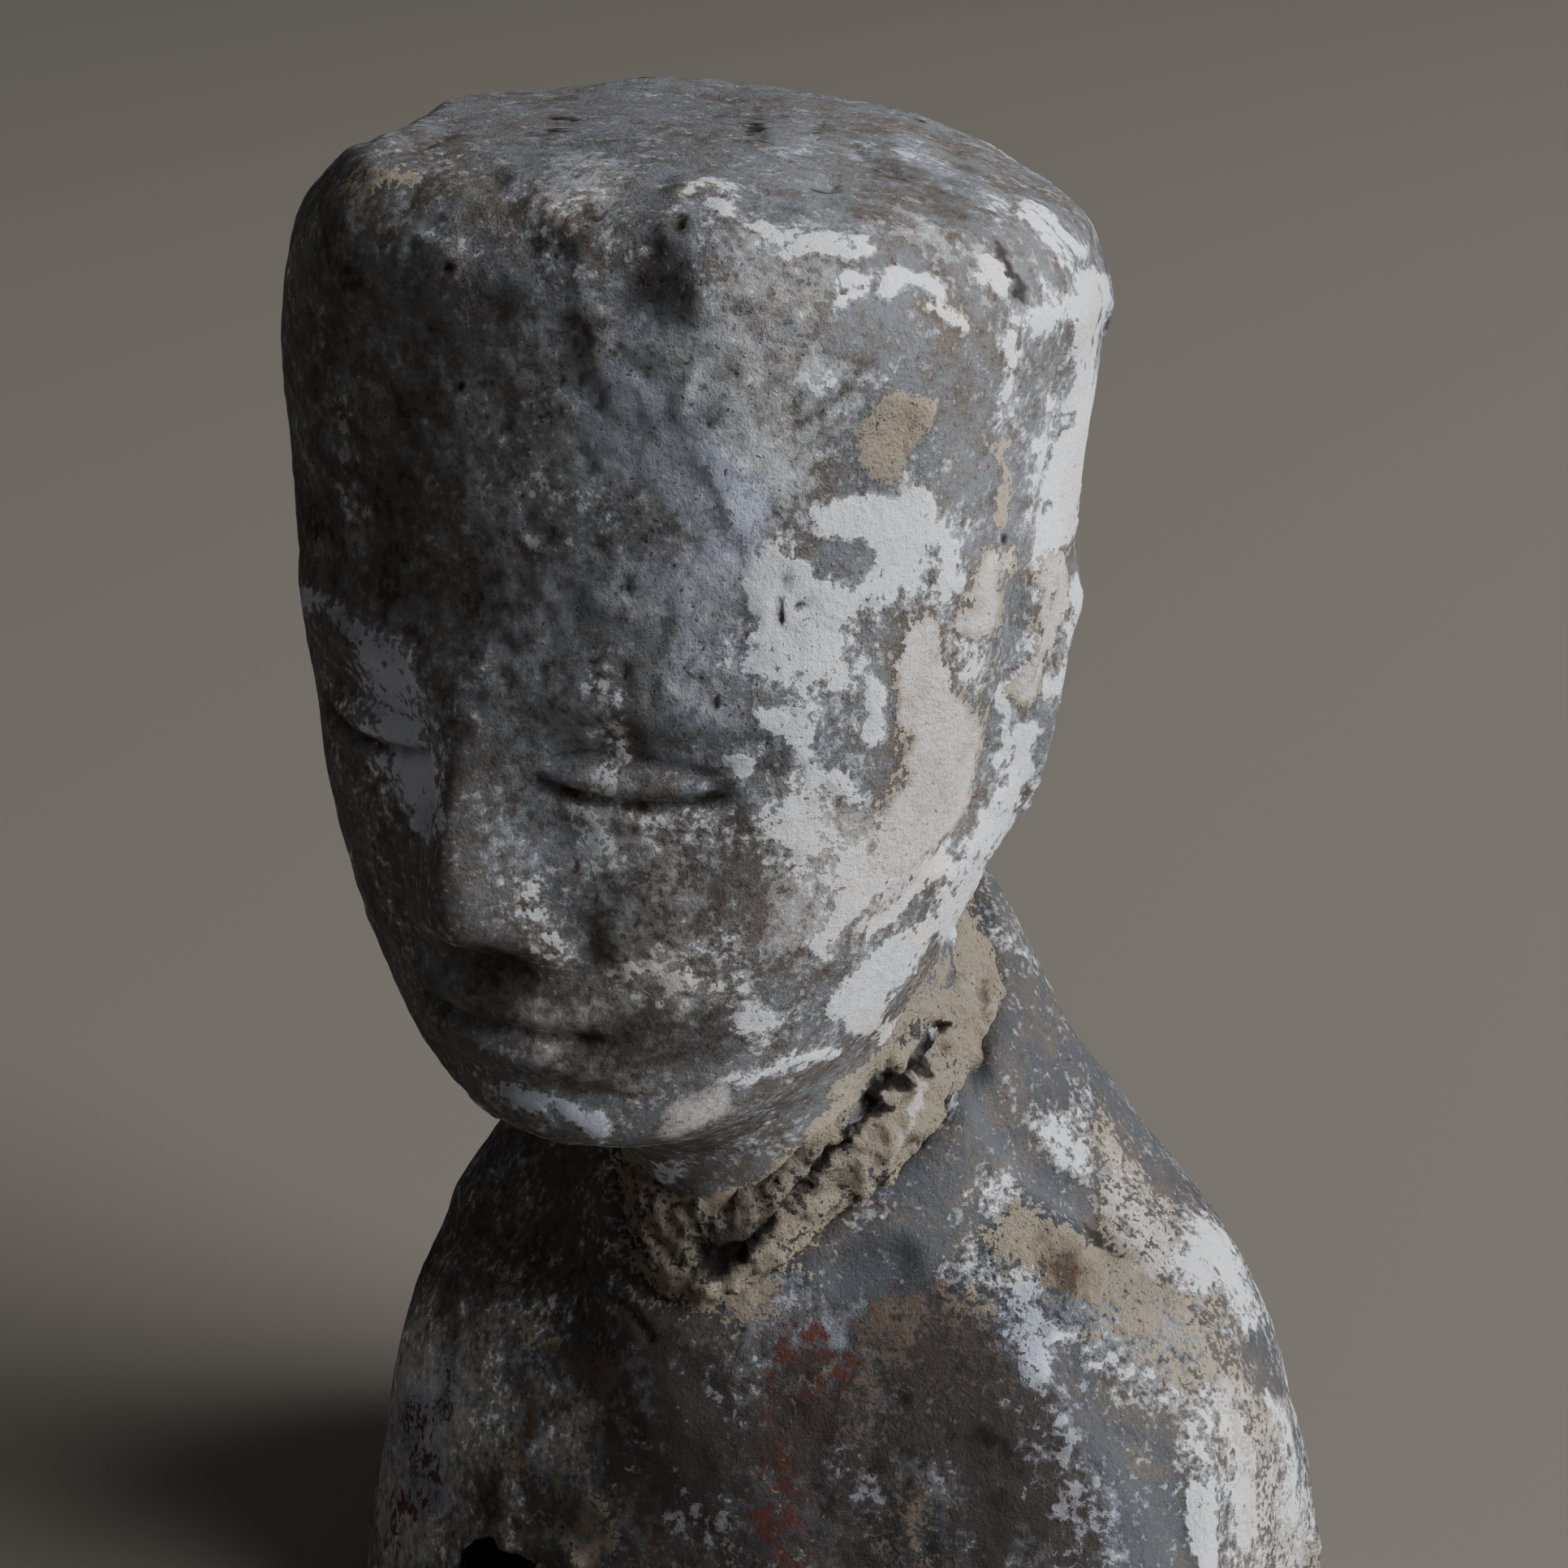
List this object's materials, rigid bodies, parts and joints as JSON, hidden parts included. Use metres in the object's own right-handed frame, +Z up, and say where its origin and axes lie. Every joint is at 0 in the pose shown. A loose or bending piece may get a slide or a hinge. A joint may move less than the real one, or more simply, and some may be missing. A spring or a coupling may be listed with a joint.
{
  "type": "funerary figure bust",
  "caption": "Bust of a small worn terracotta tomb attendant in a low flat cap, its head set in a collar over sloping shoulders, cut flat below.",
  "frame": {"origin": "middle of the overall width and depth, at the height of the flat cut underneath, which is z = 0", "axes": "+Z up through the head, -Y the way the figure faces, +X to the figure's own left"},
  "size_m": [0.098, 0.0858, 0.1525],
  "materials": {
    "head_clay": "unglazed grey fired clay with worn white slip, tan crust and dark soil",
    "body_clay": "unglazed grey fired clay with worn white slip, red pigment and brown soil"
  },
  "bodies": {
    "root": {"head": "head_clay", "body": "body_clay"}
  },
  "joints": []
}
